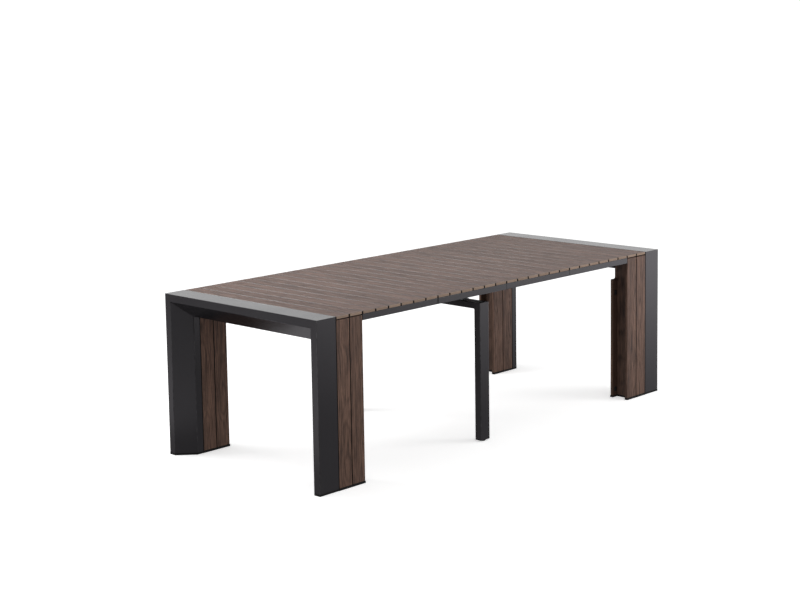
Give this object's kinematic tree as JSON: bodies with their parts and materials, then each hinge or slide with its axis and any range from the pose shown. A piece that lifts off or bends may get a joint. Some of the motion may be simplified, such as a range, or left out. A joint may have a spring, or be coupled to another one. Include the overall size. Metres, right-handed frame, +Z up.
{
  "type": "extending outdoor dining table",
  "caption": "Long slatted outdoor dining table: two metal and wood portal ends on nested slides, loose slatted leaves between them and a narrow centre support that nests in the legs.",
  "frame": {"origin": "the middle of the open table's footprint, on the floor", "axes": "+X along the length from the near portal to the far portal, +Y from the front side to the back side, +Z up"},
  "size_m": [2.436, 1.003, 0.75],
  "materials": {
    "charcoal_metal": "charcoal powder coat, fine texture",
    "wood_slats": "grey-brown oiled wood with an open grain",
    "recess_wood": "dark brown wood",
    "black_slides": "black anodised",
    "black_plastic": "matt black",
    "rubber": "matt black rubber",
    "steel": "plain stainless steel"
  },
  "bodies": {
    "far_portal": {"far_top_bar": "charcoal_metal", "far_posts": "charcoal_metal", "far_corner_keys": "steel", "far_leg_cores": "charcoal_metal", "far_recess_panels": "recess_wood", "far_recess_bumpers": "rubber", "far_outer_leg_slats": "wood_slats", "far_inner_leg_slats": "wood_slats", "far_foot_plates": "black_plastic", "far_top_slats": "wood_slats", "far_cross_rails": "charcoal_metal", "far_fixed_slides": "black_slides", "far_screws": "steel"},
    "near_portal": {"near_top_bar": "charcoal_metal", "near_posts": "charcoal_metal", "near_corner_keys": "steel", "near_leg_cores": "charcoal_metal", "near_recess_panels": "recess_wood", "near_recess_bumpers": "rubber", "near_outer_leg_slats": "wood_slats", "near_inner_leg_slats": "wood_slats", "near_foot_plates": "black_plastic", "near_top_slats": "wood_slats", "near_cross_rails": "charcoal_metal", "near_fixed_slides": "black_slides", "near_screws": "steel"},
    "stage_1": {"slide_stage_1": "black_slides"},
    "stage_2": {"slide_stage_2": "black_slides"},
    "stage_4": {"slide_stage_4": "black_slides"},
    "stage_5": {"slide_stage_5": "black_slides"},
    "stage_6": {"slide_stage_6": "black_slides"},
    "centre_support": {"slide_stage_3": "black_slides", "support_front_leg": "charcoal_metal", "support_back_leg": "charcoal_metal", "support_beam": "charcoal_metal", "support_brackets": "black_slides", "support_screws": "steel", "leg_plugs": "black_plastic"},
    "front_glide": {"front_glide": "black_plastic"},
    "back_glide": {"back_glide": "black_plastic"},
    "leaf_1": {"leaf_1_slats": "wood_slats", "leaf_1_aprons": "charcoal_metal", "leaf_1_rails": "charcoal_metal", "leaf_1_guide_blocks": "black_plastic", "leaf_1_screws": "steel"},
    "leaf_2": {"leaf_2_slats": "wood_slats", "leaf_2_aprons": "charcoal_metal", "leaf_2_rails": "charcoal_metal", "leaf_2_guide_blocks": "black_plastic", "leaf_2_screws": "steel"},
    "leaf_3": {"leaf_3_slats": "wood_slats", "leaf_3_aprons": "charcoal_metal", "leaf_3_rails": "charcoal_metal", "leaf_3_guide_blocks": "black_plastic", "leaf_3_screws": "steel"},
    "leaf_4": {"leaf_4_slats": "wood_slats", "leaf_4_aprons": "charcoal_metal", "leaf_4_rails": "charcoal_metal", "leaf_4_guide_blocks": "black_plastic", "leaf_4_screws": "steel"}
  },
  "joints": [
    {"name": "near_portal_slide", "type": "slide", "parent": "stage_1", "child": "near_portal", "axis": [1, 0, 0], "range_m": [0, 0.28]},
    {"name": "stage_1_slide", "type": "slide", "parent": "stage_2", "child": "stage_1", "axis": [1, 0, 0], "range_m": [0, 0.28]},
    {"name": "stage_2_slide", "type": "slide", "parent": "centre_support", "child": "stage_2", "axis": [1, 0, 0], "range_m": [0, 0.28]},
    {"name": "centre_support_slide", "type": "slide", "parent": "stage_4", "child": "centre_support", "axis": [1, 0, 0], "range_m": [0, 0.264]},
    {"name": "stage_4_slide", "type": "slide", "parent": "stage_5", "child": "stage_4", "axis": [1, 0, 0], "range_m": [0, 0.264]},
    {"name": "stage_5_slide", "type": "slide", "parent": "stage_6", "child": "stage_5", "axis": [1, 0, 0], "range_m": [0, 0.264]},
    {"name": "stage_6_slide", "type": "slide", "parent": "far_portal", "child": "stage_6", "axis": [1, 0, 0], "range_m": [0, 0.264]},
    {"name": "leaf_1_lift", "type": "slide", "parent": "far_portal", "child": "leaf_1", "axis": [0, 0, 1], "range_m": [0, 0.76]},
    {"name": "leaf_2_lift", "type": "slide", "parent": "far_portal", "child": "leaf_2", "axis": [0, 0, 1], "range_m": [0, 0.76]},
    {"name": "leaf_3_lift", "type": "slide", "parent": "far_portal", "child": "leaf_3", "axis": [0, 0, 1], "range_m": [0, 0.76]},
    {"name": "leaf_4_lift", "type": "slide", "parent": "far_portal", "child": "leaf_4", "axis": [0, 0, 1], "range_m": [0, 0.76]},
    {"name": "front_glide_height", "type": "slide", "parent": "centre_support", "child": "front_glide", "axis": [0, 0, -1], "range_m": [0, 0.008]},
    {"name": "back_glide_height", "type": "slide", "parent": "centre_support", "child": "back_glide", "axis": [0, 0, -1], "range_m": [0, 0.008]}
  ],
  "couplings": [
    {"joint": "stage_1_slide", "follows": "near_portal_slide", "ratio": 1},
    {"joint": "stage_2_slide", "follows": "near_portal_slide", "ratio": 1},
    {"joint": "centre_support_slide", "follows": "near_portal_slide", "ratio": 0.94285},
    {"joint": "stage_4_slide", "follows": "near_portal_slide", "ratio": 0.94285},
    {"joint": "stage_5_slide", "follows": "near_portal_slide", "ratio": 0.94285},
    {"joint": "stage_6_slide", "follows": "near_portal_slide", "ratio": 0.94285},
    {"joint": "leaf_1_lift", "follows": "near_portal_slide", "ratio": 2.714},
    {"joint": "leaf_2_lift", "follows": "near_portal_slide", "ratio": 2.714},
    {"joint": "leaf_3_lift", "follows": "near_portal_slide", "ratio": 2.714},
    {"joint": "leaf_4_lift", "follows": "near_portal_slide", "ratio": 2.714}
  ]
}
